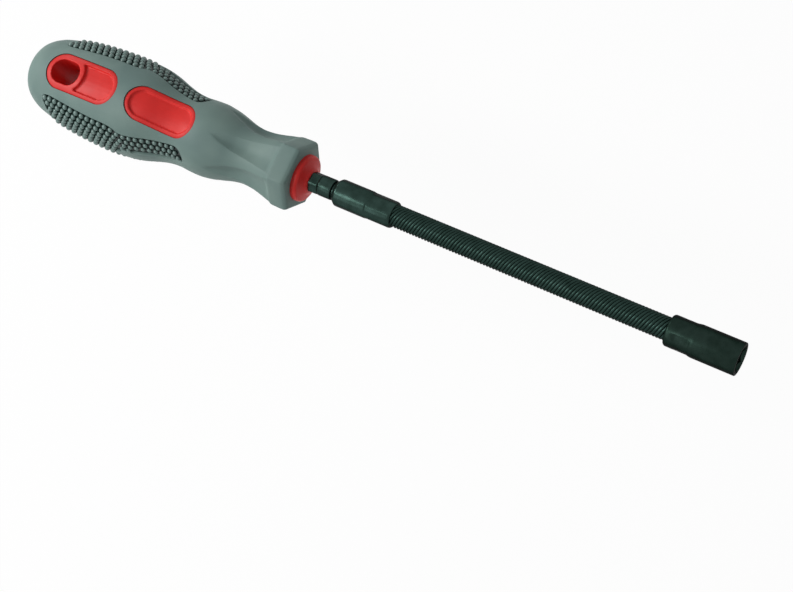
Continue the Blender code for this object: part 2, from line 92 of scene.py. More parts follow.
# Bench: small shop tools for meshes
def across(station: float) -> float:
    """World X in metres of a station."""
    return (station - MIDDLE) * MM


def polar(station: float, radius: float, angle: float) -> Vector:
    """A point in metres, with its angle from +Y towards +Z."""
    turn = math.radians(angle)
    return Vector((across(station), radius * MM * math.cos(turn), radius * MM * math.sin(turn)))


def hex_corner(flats: float) -> float:
    """Corner radius of a hex of the given width across its flats."""
    return flats / 2 / math.cos(math.radians(30))


def deselect_all() -> None:
    """Leaves edit mode and clears the selection."""
    if bpy.context.object and bpy.context.object.mode != "OBJECT":
        bpy.ops.object.mode_set(mode="OBJECT")
    bpy.ops.object.select_all(action="DESELECT")


def take(obj: bpy.types.Object) -> None:
    """Makes an object the only selected and active one.

    Args:
        obj: the object.
    """
    deselect_all()
    obj.select_set(True)
    bpy.context.view_layer.objects.active = obj


def twin(obj: bpy.types.Object) -> bpy.types.Object:
    """Copies an object.

    Args:
        obj: the object.

    Returns:
        A copy in the scene, with its own mesh.
    """
    copy = obj.copy()
    copy.data = obj.data.copy()
    bpy.context.scene.collection.objects.link(copy)
    return copy


def settle(obj: bpy.types.Object) -> bpy.types.Object:
    """Puts the object's place into its mesh.

    Args:
        obj: the object, wherever it stands.

    Returns:
        The same object at the origin, unturned and unscaled.
    """
    take(obj)
    bpy.ops.object.transform_apply(location=True, rotation=True, scale=True)
    return obj


def face_outwards() -> None:
    """Turns every face of the mesh in edit mode outwards, then leaves edit mode."""
    bpy.ops.mesh.select_all(action="SELECT")
    bpy.ops.mesh.normals_make_consistent(inside=False)
    deselect_all()


def apply_modifiers(obj: bpy.types.Object) -> None:
    """Applies every modifier in order.

    Args:
        obj: the object that carries them.
    """
    take(obj)
    for modifier in list(obj.modifiers):
        bpy.ops.object.modifier_apply(modifier=modifier.name)


def cut(obj: bpy.types.Object, tool: bpy.types.Object, way: Cut) -> None:
    """Works on obj with a closed tool solid, which is used up.

    Args:
        obj: the solid that changes.
        tool: the solid that cuts.
        way: what the tool does.
    """
    modifier = obj.modifiers.new(tool.name, "BOOLEAN")
    modifier.operation = way.value
    modifier.solver = "EXACT"
    modifier.object = tool
    apply_modifiers(obj)
    bpy.data.objects.remove(tool, do_unlink=True)


def smooth(obj: bpy.types.Object, angle: float) -> None:
    """Shades obj smooth, with edges sharper than the angle kept."""
    take(obj)
    bpy.ops.object.shade_smooth_by_angle(angle=math.radians(angle))


def round_edges(
    obj: bpy.types.Object, chosen: Callable[[Vector, Vector], bool], radius: float, segments: int
) -> None:
    """Bevels some edges of a block round.

    Args:
        obj: the block.
        chosen: tells from an edge's two ends, in metres, whether it is rounded.
        radius: radius of the rounding, in metres.
        segments: steps of the rounding.
    """
    mesh = obj.data
    for part in list(mesh.vertices) + list(mesh.polygons):
        part.select = False
    for edge in mesh.edges:
        edge.select = chosen(*(mesh.vertices[i].co for i in edge.vertices))
    bpy.ops.object.mode_set(mode="EDIT")
    bpy.ops.mesh.select_mode(type="EDGE")
    bpy.ops.mesh.bevel(offset=radius, segments=segments, affect="EDGES")
    bpy.ops.mesh.select_mode(type="VERT")
    deselect_all()


def turned(name: str, profile: Profile, sides: int = 96, turn: float = 0.0) -> bpy.types.Object:
    """A solid turned about the tool axis: a disc drawn out by extrude and resize.

    Args:
        name: name of the object.
        profile: station and radius of each step, from rear to front.
        sides: sides of the disc.
        turn: angle by which the corners are turned about the axis.

    Returns:
        The closed solid.
    """
    deselect_all()
    station, radius = profile[0]
    bpy.ops.mesh.primitive_circle_add(
        vertices=sides, radius=radius * MM, fill_type="NGON",
        location=(across(station), 0, 0), rotation=(0, math.pi / 2, 0),
    )
    obj = bpy.context.object
    obj.name = name
    bpy.ops.object.mode_set(mode="EDIT")
    bpy.ops.mesh.select_all(action="SELECT")
    for (x, r), (next_x, next_r) in zip(profile, profile[1:]):
        move = {"value": ((next_x - x) * MM, 0, 0), "orient_type": "GLOBAL"}
        bpy.ops.mesh.extrude_region_move(TRANSFORM_OT_translate=move)
        bpy.ops.transform.resize(
            value=(1, next_r / r, next_r / r), orient_type="GLOBAL",
            center_override=(across(next_x), 0, 0),
        )
    face_outwards()
    settle(obj)
    obj.data.transform(Matrix.Rotation(math.radians(turn), 4, "X"))
    return obj


def slot_bar(
    name: str, centre: float, length: float, width: float, low: float, high: float
) -> bpy.types.Object:
    """An upright bar with a slot's outline: a block with its upright edges rounded.

    Args:
        name: name of the object.
        centre: station of the slot's middle.
        length: length along the tool.
        width: width across the tool.
        low: lower end along Z.
        high: upper end along Z.

    Returns:
        The closed bar.
    """
    nearly_half = 0.998
    deselect_all()
    bpy.ops.mesh.primitive_cube_add(size=MM, location=(across(centre), 0, (low + high) / 2 * MM))
    obj = bpy.context.object
    obj.name = name
    obj.scale = (length, width, high - low)
    settle(obj)
    round_edges(obj, lambda a, b: abs(a.z - b.z) > MM, width / 2 * MM * nearly_half, 20)
    return obj


def wrapped(
    name: str, columns: int, rows: int, place: Callable[[int, int], Vector]
) -> bpy.types.Object:
    """A closed skin: a flat grid rolled up, sewn along its seam and closed at both ends.

    Args:
        name: name of the object.
        columns: steps round the tool.
        rows: steps along the tool.
        place: gives the point in metres for a row and a column.

    Returns:
        The closed solid.
    """
    deselect_all()
    bpy.ops.mesh.primitive_grid_add(x_subdivisions=rows, y_subdivisions=columns, size=1.0)
    obj = bpy.context.object
    obj.name = name
    for vertex in obj.data.vertices:
        row = round((vertex.co.x + 0.5) * rows)
        column = round((vertex.co.y + 0.5) * columns)
        vertex.co = place(row, column % columns)
    bpy.ops.object.mode_set(mode="EDIT")
    bpy.ops.mesh.select_all(action="SELECT")
    bpy.ops.mesh.remove_doubles(threshold=1e-7)
    bpy.ops.mesh.select_all(action="DESELECT")
    bpy.ops.mesh.select_mode(type="EDGE")
    bpy.ops.mesh.select_non_manifold()
    bpy.ops.mesh.fill_holes(sides=0)
    bpy.ops.mesh.select_mode(type="VERT")
    face_outwards()
    return obj


def bar_over(name: str, outline: Profile, low: float, high: float) -> bpy.types.Object:
    """A bar along Y over an outline: a many-sided disc moved to the outline, then extruded.

    Args:
        name: name of the object.
        outline: station and height of each corner.
        low: lower end along Y.
        high: upper end along Y.

    Returns:
        The closed bar.
    """
    deselect_all()
    bpy.ops.mesh.primitive_circle_add(vertices=len(outline), radius=1.0, fill_type="NGON")
    obj = bpy.context.object
    obj.name = name
    for vertex, (station, height) in zip(obj.data.vertices, outline):
        vertex.co = (across(station), low * MM, height * MM)
    bpy.ops.object.mode_set(mode="EDIT")
    bpy.ops.mesh.select_all(action="SELECT")
    move = {"value": (0, (high - low) * MM, 0), "orient_type": "GLOBAL"}
    bpy.ops.mesh.extrude_region_move(TRANSFORM_OT_translate=move)
    face_outwards()
    return obj


def soften(obj: bpy.types.Object, grain: float, passes: int, share: float) -> None:
    """Rounds every edge as a mould does: an even remesh, a few smoothing passes, fewer faces.

    Args:
        obj: closed solid with sharp edges.
        grain: edge length of the remesh.
        passes: smoothing passes.
        share: share of the faces that stay.
    """
    remesh = obj.modifiers.new("even_mesh", "REMESH")
    remesh.mode = "VOXEL"
    remesh.voxel_size = grain * MM
    relax = obj.modifiers.new("round_edges", "SMOOTH")
    relax.factor = 0.5
    relax.iterations = passes
    fewer = obj.modifiers.new("fewer_faces", "DECIMATE")
    fewer.ratio = share
    apply_modifiers(obj)
    take(obj)
    bpy.ops.object.shade_smooth()


def joined(name: str, parts: Sequence[bpy.types.Object]) -> bpy.types.Object:
    """Joins objects into one.

    Args:
        name: name of the whole.
        parts: the objects.

    Returns:
        One object that holds the meshes of all parts.
    """
    deselect_all()
    for part in parts:
        part.select_set(True)
    bpy.context.view_layer.objects.active = parts[0]
    bpy.ops.object.join()
    parts[0].name = name
    parts[0].data.name = name
    return parts[0]


# Finishes
def linear(code: str) -> tuple[float, float, float, float]:
    """Turns a colour to linear.

    Args:
        code: sRGB hex code, such as #708580.

    Returns:
        Red, green, blue and a full alpha.
    """
    parts = [int(code[i:i + 2], 16) / 255 for i in (1, 3, 5)]
    plain = [p / 12.92 if p <= 0.04045 else ((p + 0.055) / 1.055) ** 2.4 for p in parts]
    return (*plain, 1.0)


def add_node(
    material: bpy.types.Material, kind: str, inputs: dict | None = None, **settings: object
) -> bpy.types.Node:
    """Adds a node with its settings and input links.

    Args:
        material: material whose tree takes the node.
        kind: node type, such as ShaderNodeTexNoise.
        inputs: value or source socket of each input, by name or index.
        settings: attributes of the node.

    Returns:
        The node.
    """
    tree = material.node_tree
    node = tree.nodes.new(kind)
    for key, value in settings.items():
        setattr(node, key, value)
    for key, value in (inputs or {}).items():
        if isinstance(value, bpy.types.NodeSocket):
            tree.links.new(value, node.inputs[key])
        else:
            node.inputs[key].default_value = value
    return node


def ramp(
    material: bpy.types.Material, source: bpy.types.NodeSocket, stops: Stops
) -> bpy.types.NodeSocket:
    """Colours of a ramp over a source value.

    Args:
        material: material whose tree takes the ramp.
        source: socket that gives the place on the ramp.
        stops: place and hex colour of each stop.

    Returns:
        The ramp's colour socket.
    """
    node = add_node(material, "ShaderNodeValToRGB", {"Fac": source})
    while len(node.color_ramp.elements) < len(stops):
        node.color_ramp.elements.new(1.0)
    for element, (place, code) in zip(node.color_ramp.elements, stops):
        element.position = place
        element.color = linear(code)
    return node.outputs["Color"]


@dataclass(frozen=True)
class Grain:
    """Noise of a real size on object coordinates, shifted along X in metres."""

    size: float
    detail: float = 2.0
    shift: float = 0.0
    stretch: tuple[float, float, float] = (1.0, 1.0, 1.0)

    def socket(self, material: bpy.types.Material) -> bpy.types.NodeSocket:
        """Lays the noise out.

        Args:
            material: material whose tree takes it.

        Returns:
            The socket of its value.
        """
        place = add_node(material, "ShaderNodeTexCoord").outputs["Object"]
        moved = add_node(material, "ShaderNodeMapping", {
            "Vector": place, "Location": (self.shift, 0, 0), "Scale": self.stretch,
        })
        noise = add_node(material, "ShaderNodeTexNoise", {
            "Vector": moved.outputs["Vector"], "Scale": 1 / (self.size * MM),
            "Detail": self.detail,
        })
        return noise.outputs["Fac"]


@dataclass(frozen=True)
class Finish:
    """A surface: its slot name, its shader's plain values and its patterns."""

    name: str
    slot: str
    roughness: float
    stops: Stops
    patches: Grain  # where the roughness wanders
    spread: float  # how far it wanders
    relief: Grain
    height: float  # of the relief
    strength: float
    clouds: Grain | None = None  # slow drift of tone
    metallic: float = 0.0
    ior: float = 1.5
    specular: float = 0.5
    edge: float = 1.0  # tint of the reflection at a grazing angle

    def material(self) -> bpy.types.Material:
        """The finish as a material, made at its first use."""
        return bpy.data.materials.get(self.name) or self.build()

    def tone(self, material: bpy.types.Material) -> bpy.types.NodeSocket:
        """What the colour follows: the finish's own clouds."""
        return self.clouds.socket(material)

    def build(self) -> bpy.types.Material:
        """Makes the material.

        Returns:
            A material whose colour, roughness and relief follow the finish's patterns.
        """
        material = bpy.data.materials.new(self.name)
        material.use_nodes = True
        shader = material.node_tree.nodes["Principled BSDF"]
        plain = {
            "Roughness": self.roughness, "Metallic": self.metallic, "IOR": self.ior,
            "Specular IOR Level": self.specular,
            "Specular Tint": (self.edge, self.edge, self.edge, 1.0),
        }
        for key, value in plain.items():
            shader.inputs[key].default_value = value
        rough = add_node(material, "ShaderNodeMapRange", {
            "Value": self.patches.socket(material), "From Min": 0.3, "From Max": 0.7,
            "To Min": self.roughness - self.spread, "To Max": self.roughness + self.spread,
        })
        bump = add_node(material, "ShaderNodeBump", {
            "Height": self.relief.socket(material), "Distance": self.height * MM,
            "Strength": self.strength,
        })
        linked = {
            "Base Color": ramp(material, self.tone(material), self.stops),
            "Roughness": rough.outputs["Result"], "Normal": bump.outputs["Normal"],
        }
        for key, source in linked.items():
            material.node_tree.links.new(source, shader.inputs[key])
        return material


@dataclass(frozen=True)
class SoftRubber(Finish):
    """Thermoplastic rubber moulded over the core, from a spark-eroded mould."""

    # To the eye: satin, with broad dull highlights and a tone that drifts slowly
    name: str = "moulded_soft_rubber"
    slot: str = "grip_rubber"
    roughness: float = 0.6
    ior: float = 1.45
    stops: Stops = ((0.32, "#5D7470"), (0.68, "#6C827C"))
    clouds: Grain = Grain(14.0)
    patches: Grain = Grain(6.0, shift=0.3)
    spread: float = 0.05
    relief: Grain = Grain(0.35)  # drawn coarser than the real grain, so that it shows
    height: float = 0.02
    strength: float = 0.35


@dataclass(frozen=True)
class StudRubber(Finish):
    """The same rubber on the studs, worn in and a little smoother."""

    # To the eye: grey-green tops with small soft glints, darkening with depth to near-black: the
    # dark lower stops are painted shade in the valleys and on the sheet
    name: str = "studded_soft_rubber"
    slot: str = "band_rubber"
    roughness: float = 0.36
    # the two lower stops paint shade into the valleys; the top stop is near the rubber's own tone
    stops: Stops = ((0.14, "#0E1F1D"), (0.46, "#29413C"), (0.88, "#657F79"))
    patches: Grain = Grain(3.0)
    spread: float = 0.06
    relief: Grain = Grain(0.3)
    height: float = 0.02
    strength: float = 0.3

    def tone(self, material: bpy.types.Material) -> bpy.types.NodeSocket:
        """What the colour follows: the mesh's stud_height attribute, so that lower points get
        painted shade.
        """
        height = add_node(material, "ShaderNodeAttribute", attribute_name="stud_height")
        return height.outputs["Fac"]


@dataclass(frozen=True)
class MouldedRed(Finish):
    """Injection-moulded red plastic."""

    # To the eye: even and warm, with a soft gloss and a faint orange peel
    name: str = "moulded_red_plastic"
    slot: str = "core_plastic"
    roughness: float = 0.46
    ior: float = 1.33
    stops: Stops = ((0.3, "#C92321"), (0.7, "#D92D29"))
    clouds: Grain = Grain(9.0)
    patches: Grain = Grain(4.0, shift=0.2)
    spread: float = 0.04
    relief: Grain = Grain(0.8)
    height: float = 0.015
    strength: float = 0.3
    glow_share: float = 0.08
    glow_reach: tuple[float, float, float] = (0.0012, 0.0004, 0.0003)  # metres

    def build(self) -> bpy.types.Material:
        """Makes the material.

        Returns:
            The plain finish with a little light scattered under its skin.
        """
        material = super().build()
        shader = material.node_tree.nodes["Principled BSDF"]
        shader.inputs["Subsurface Weight"].default_value = self.glow_share
        shader.inputs["Subsurface Radius"].default_value = self.glow_reach
        return material


@dataclass(frozen=True)
class BlackOxide(Finish):
    """Black oxide on machined steel."""

    # To the eye: near-black with a green cast, cloudy, with fine turning marks across the axis
    name: str = "black_oxide_steel"
    slot: str = "black_steel"
    roughness: float = 0.26
    metallic: float = 0.7
    specular: float = 0.15
    edge: float = 0.06
    stops: Stops = ((0.3, "#24342F"), (0.7, "#324540"))
    clouds: Grain = Grain(3.5, 4.0)
    patches: Grain = Grain(1.2, 3.0, 0.1)
    spread: float = 0.04
    relief: Grain = Grain(0.25, stretch=(1.0, 0.04, 0.04))
    height: float = 0.01
    strength: float = 0.1


@dataclass(frozen=True)
class ShadedSocketOxide(BlackOxide):
    """The same coat on the socket, painted darker as shade."""

    # To the eye: duller than the shank, with hardly a highlight; its darker colour is painted
    # shade, as the socket lies in dimmer light
    name: str = "black_oxide_socket_painted_shade"
    roughness: float = 0.34
    metallic: float = 0.8
    specular: float = 0.1
    edge: float = 0.04
    # darker stops than the shank's: painted shade
    stops: Stops = ((0.3, "#1A2722"), (0.7, "#26342F"))


@dataclass(frozen=True)
class OiledWire(Finish):
    """Black oxide wire with a trace of oil."""

    # To the eye: dark, with a narrow shine along every strand
    name: str = "oiled_black_wire"
    slot: str = "wire_steel"
    roughness: float = 0.36
    metallic: float = 0.7
    specular: float = 0.15
    edge: float = 0.06
    stops: Stops = ((0.3, "#22332E"), (0.7, "#2D403B"))
    clouds: Grain = Grain(2.5, 3.0)
    patches: Grain = Grain(0.9, 3.0, 0.1)
    spread: float = 0.08
    relief: Grain = Grain(0.25)
    height: float = 0.01
    strength: float = 0.25


def dress(obj: bpy.types.Object, finish: Finish, body: str, nodes: Iterable[str]) -> None:
    """Gives a finished piece its material and body, and hides the CAD nodes that it stands for.

    Args:
        obj: the piece.
        finish: its finish.
        body: the body it rides on, or nothing for a piece left on no body.
        nodes: CAD nodes that it replaces.
    """
    obj.data.materials.clear()
    obj.data.materials.append(finish.material())
    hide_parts(*nodes)
    if body:
        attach(obj, body)
    LOG.info("%s: %d faces", obj.name, len(obj.data.polygons))


# The grip's outside form
def smooth_curve(knots: Profile, steps: int = 5) -> list[tuple[float, float]]:
    """Points of a smooth curve through the knots.

    Args:
        knots: corners of the curve, in order.
        steps: points to each span.

    Returns:
        The points, from the first knot to the last.
    """
    ends = [knots[0], *knots, knots[-1]]
    found = []
    for before, a, b, after in zip(ends, ends[1:], ends[2:], ends[3:]):
        for k in range(steps):
            t = k / steps
            found.append(tuple(
                0.5 * (2 * q + (r - p) * t + (2 * p - 5 * q + 4 * r - s) * t**2
                       + (3 * q - p - 3 * r + s) * t**3)
                for p, q, r, s in zip(before, a, b, after)
            ))
    found.append(tuple(knots[-1]))
    return found


@dataclass(frozen=True)
class GripForm:
    """Outline of the grip and its six scooped flats."""

    outline: Profile = (
        (-109.5, 0.0), (-109.43, 1.6), (-109.0, 4.2), (-107.4, 7.7), (-105.0, 10.5),
        (-101.2, 12.6), (-97.0, 13.8), (-91.0, 15.0), (-84.0, 15.85), (-76.0, 16.35),
        (-68.0, 16.5), (-62.0, 16.25), (-57.0, 15.35), (-52.0, 13.85), (-47.5, 12.75),
        (-43.0, 12.35), (-39.0, 12.6), (-35.0, 12.7), (-31.0, 12.2), (-27.0, 11.2),
        (-23.0, 10.1), (-19.0, 9.55), (-15.0, 9.8), (-11.5, 10.5), (-9.0, 11.15),
        (-7.2, 11.62), (-6.4, 12.05), (-5.6, 12.2), (-2.0, 12.3), (-0.9, 12.15), (-0.25, 11.75),
        (0.0, 11.2),
    )
    apex: float = -30.5  # where the flats start
    flats: Profile = (
        (-30.5, 0.3), (-29.0, 1.0), (-27.0, 1.6), (-23.0, 2.5), (-17.6, 3.1), (-13.0, 3.8),
        (-9.3, 4.4), (-7.4, 4.9), (-6.2, 5.9), (0.0, 6.1),
    )
    scoop: float = 1.0
    scoop_full: float = 3.0  # half-width of a flat from which its scoop is full
    crease: float = 0.06
    flange: float = -6.8  # station where the scoops end
    flange_fade: float = 1.5
    least_edge: float = 2.0  # angle of a flat's border where the flat is narrow
    edge_growth: float = 18.0  # behind the apex the mesh lines spread by this angle
    growth_length: float = 9.0  # over this length
    widest: float = 0.46  # widest flat, as a share of the radius
    least_radius: float = 0.4  # of a solid under the skin

    def radius(self, station: float) -> float:
        """Radius of the outline at a station."""
        return float(np.interp(station, *SMOOTH_OUTLINE))

    def half_width(self, station: float) -> float:
        """Half-width of each flat at a station."""
        return 0.0 if station < self.apex else float(np.interp(station, *zip(*self.flats)))

    def skin(self, station: float, angle: float) -> float:
        """Radius of the skin, with the flats pressed in and their edges softened.

        Args:
            station: millimetres along the axis.
            angle: degrees round the axis, from +Y towards +Z.

        Returns:
            Millimetres from the axis.
        """
        radius = self.radius(station)
        off_centre = math.radians((angle % 60.0) - 30.0)
        half = min(self.half_width(station), radius / 2)
        if half <= 0.0:
            return radius
        apothem = math.sqrt(radius**2 - half**2)
        across_flat = radius * math.sin(abs(off_centre)) / half
        dip = self.scoop * max(0.0, 1 - across_flat**2) * min(1.0, half / self.scoop_full)
        behind_flange = min(1.0, max(0.0, (self.flange - station) / self.flange_fade))
        flat = apothem / math.cos(off_centre) - dip * behind_flange
        gap = radius - flat
        return flat + 0.5 * (gap - math.sqrt(gap**2 + self.crease**2)) + self.crease / 2

    def ring(self, station: float) -> list[float]:
        """Angles of one ring, laid so that mesh edges follow the flats' borders.

        Args:
            station: where the ring lies.

        Returns:
            The angles, always the same number of them.
        """
        if station < self.apex:
            grown = min((self.apex - station) / self.growth_length, 1.0)
            edge = self.least_edge + self.edge_growth * grown
        else:
            share = min(self.half_width(station) / self.radius(station), self.widest)
            edge = max(math.degrees(math.asin(share)), self.least_edge)
        flat = [edge * s for s in (-1.0, -0.92, -0.7, -0.35, 0.0, 0.35, 0.7, 0.92)]
        ridge = [edge + (60.0 - 2 * edge) * s for s in (0.0, 0.08, 0.28, 0.5, 0.72, 0.92)]
        return [30.0 + 60.0 * k + offset for k in range(6) for offset in flat + ridge]

    def solid(
        self, name: str, inset: float, rear: float, front: float, rows: int = 0
    ) -> bpy.types.Object:
        """A closed solid under the skin.

        Args:
            name: name of the object.
            inset: millimetres that it lies below the skin.
            rear: station of its rear end.
            front: station of its front end.
            rows: even steps along it, or 0 for the curve's own stations.

        Returns:
            The closed solid.
        """
        if rows:
            stations = [rear + (front - rear) * i / rows for i in range(rows + 1)]
        else:
            stations = [x for x in SMOOTH_OUTLINE[0] if rear <= x <= front]
        rings = [self.ring(x) for x in stations]
        least = self.least_radius if inset else 0.0

        def place(row: int, column: int) -> Vector:
            """The point of a row and a column, in metres."""
            x, angle = stations[row], rings[row][column]
            return polar(x, max(self.skin(x, angle) - inset, least), angle)

        return wrapped(name, len(rings[0]), len(stations) - 1, place)


FORM = GripForm()
SMOOTH_OUTLINE = tuple(zip(*smooth_curve(FORM.outline)))


# Forked border of the studded bands
@dataclass(frozen=True)
class BandBorder:
    """Forked outline of a studded band, by station and angle from the band's own side."""

    half: Profile = (
        (-94.0, 0.0), (-94.3, 15.0), (-95.0, 30.0), (-95.9, 39.0), (-96.0, 44.0), (-95.4, 48.5),
        (-93.8, 51.0), (-91.0, 52.0), (-86.0, 51.5), (-80.0, 50.2), (-74.0, 49.2), (-69.0, 49.0),
        (-65.5, 47.6), (-62.5, 43.4), (-59.0, 43.2), (-53.0, 45.5), (-47.0, 47.0), (-43.0, 48.5),
        (-41.3, 46.5), (-40.2, 42.0), (-39.5, 35.0), (-39.2, 28.0), (-39.8, 21.0), (-41.5, 16.0),
        (-45.0, 14.0), (-51.0, 14.0), (-57.0, 14.0), (-61.0, 12.6), (-64.0, 9.5), (-66.0, 5.0),
        (-66.6, 0.0),
    )
    edge_knots: tuple[int, int] = (5, 18)  # the knots of the long outer border

    def outer(self, station: float) -> float:
        """Angle of the long outer border at a station."""
        first, last = self.edge_knots
        return float(np.interp(station, *zip(*self.half[first:last])))

    def ring(self) -> list[tuple[float, float]]:
        """The whole border as station and angle, from the rear round to the rear."""
        half = smooth_curve(self.half)
        return half + [(x, -a) for x, a in half[-2:0:-1]]

    def outline(self, shrink: float = 0.0) -> list[tuple[float, float]]:
        """The border seen from its side.

        Args:
            shrink: millimetres by which it is drawn in.

        Returns:
            Station and height of each corner, as a closed outline.
        """
        whole = np.array([
            (x, FORM.radius(x) * math.sin(math.radians(a))) for x, a in self.ring()
        ])
        following = np.roll(whole, -1, axis=0)
        ahead = following - np.roll(whole, 1, axis=0)
        area = (whole[:, 0] * following[:, 1] - whole[:, 1] * following[:, 0]).sum()
        normal = np.stack([-ahead[:, 1], ahead[:, 0]], axis=1) * math.copysign(1.0, area)
        normal /= np.linalg.norm(normal, axis=1, keepdims=True)
        return [tuple(p) for p in whole + normal * shrink]


BORDER = BandBorder()


def inside_by(outline: np.ndarray, point: np.ndarray) -> float:
    """How far a point lies inside a closed outline.

    Args:
        outline: corners of the outline, a row each.
        point: the point.

    Returns:
        Its distance from the outline, negative outside it.
    """
    a, b = outline, np.roll(outline, -1, axis=0)
    along = b - a
    t = np.clip(((point - a) * along).sum(1) / (along**2).sum(1), 0, 1)
    distance = np.linalg.norm(a + along * t[:, None] - point, axis=1).min()
    crosses = (a[:, 1] > point[1]) != (b[:, 1] > point[1])
    rise = np.where(along[:, 1] == 0, 1e-9, along[:, 1])
    left = point[0] < along[:, 0] * (point[1] - a[:, 1]) / rise + a[:, 0]
    return distance if (crosses & left).sum() % 2 else -distance


@dataclass
class SoftGrip:
    """Soft outer grip with its two window pairs and two band recesses."""

    windows: tuple[tuple[float, float, float], ...] = ((-82.05, 29.7, 12.9), (-50.45, 25.5, 12.1))
    band_depth: float = 1.8
    reach: float = 30.0
    rear: float = -110.0
    finish: Finish = SoftRubber()

    def build(self) -> bpy.types.Object:
        """Models the grip and dresses it.

        Returns:
            The grip.
        """
        grip = FORM.solid("soft_grip", 0.0, self.rear, 0.0)
        for centre, length, width in self.windows:
            opening = slot_bar("opening", centre, length, width, -self.reach, self.reach)
            cut(grip, opening, Cut.AWAY)
        for side in Side:
            cut(grip, self.recess(side), Cut.AWAY)
        smooth(grip, 32.0)
        dress(grip, self.finish, "handle", ["handle_grip"])
        return grip

    def recess(self, side: Side) -> bpy.types.Object:
        """Space of a band: a bar over its border, kept outside the recess floor.

        Args:
            side: the band's side.

        Returns:
            The space, as a cutter.
        """
        space = bar_over(f"recess_{side.name}", BORDER.outline(), *side.span())
        cut(space, FORM.solid("recess_floor", self.band_depth, *BAND_SPAN), Cut.AWAY)
        return space


